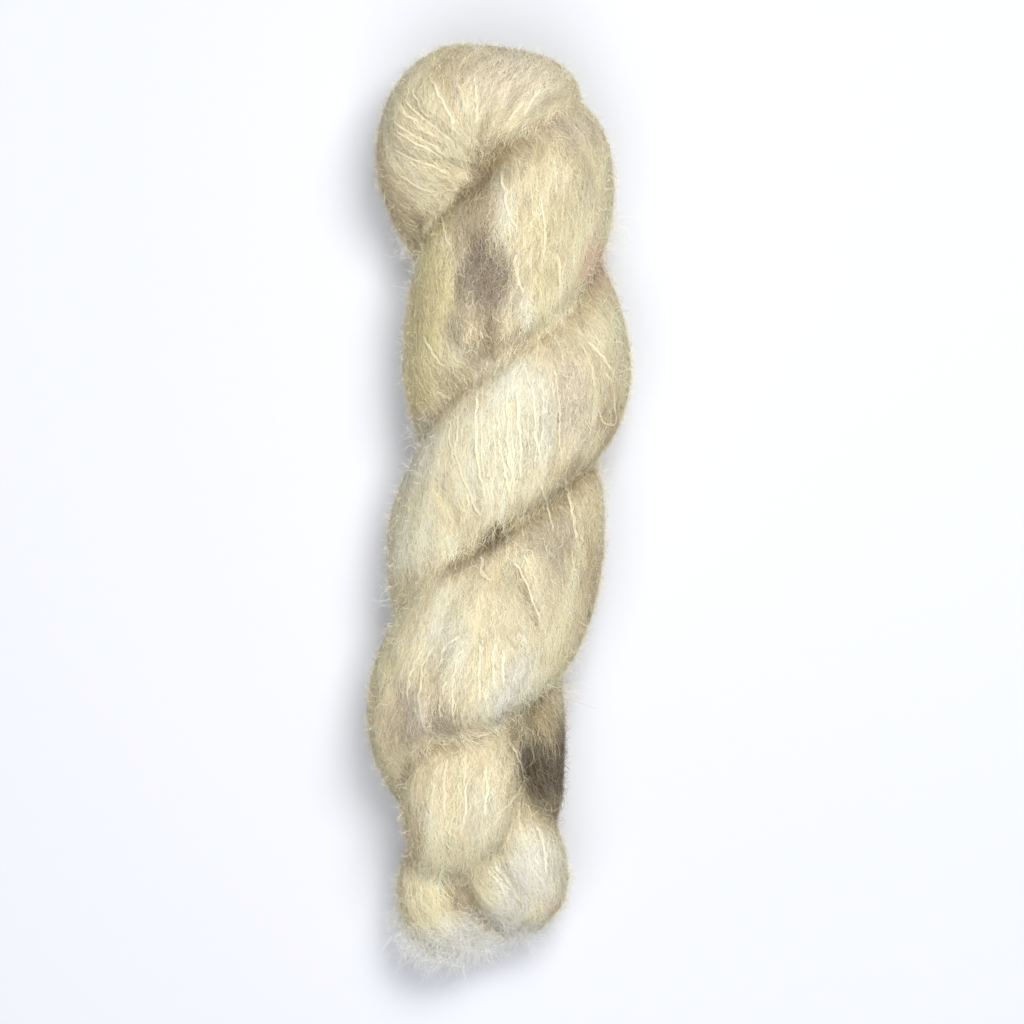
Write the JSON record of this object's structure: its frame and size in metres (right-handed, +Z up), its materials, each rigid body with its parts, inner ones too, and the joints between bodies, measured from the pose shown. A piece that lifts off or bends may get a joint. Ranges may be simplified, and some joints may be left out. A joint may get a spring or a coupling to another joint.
{
  "type": "twisted hank of brushed mohair yarn",
  "caption": "Fluffy hank of brushed mohair yarn, twisted and folded on itself as a thick two-strand rope, its looped ends tucked in at the foot, lying on its side.",
  "frame": {"origin": "centre of the bounding box, on the surface that the hank lies on", "axes": "+X across the hank, +Y along it towards its folded head, +Z up"},
  "size_m": [0.0782, 0.2738, 0.0574],
  "materials": {
    "mohair": "soft brushed fibre, matt with a faint sheen, hand dyed in cream, straw and grey-brown"
  },
  "bodies": {
    "root": {"hank": "mohair"}
  },
  "joints": []
}
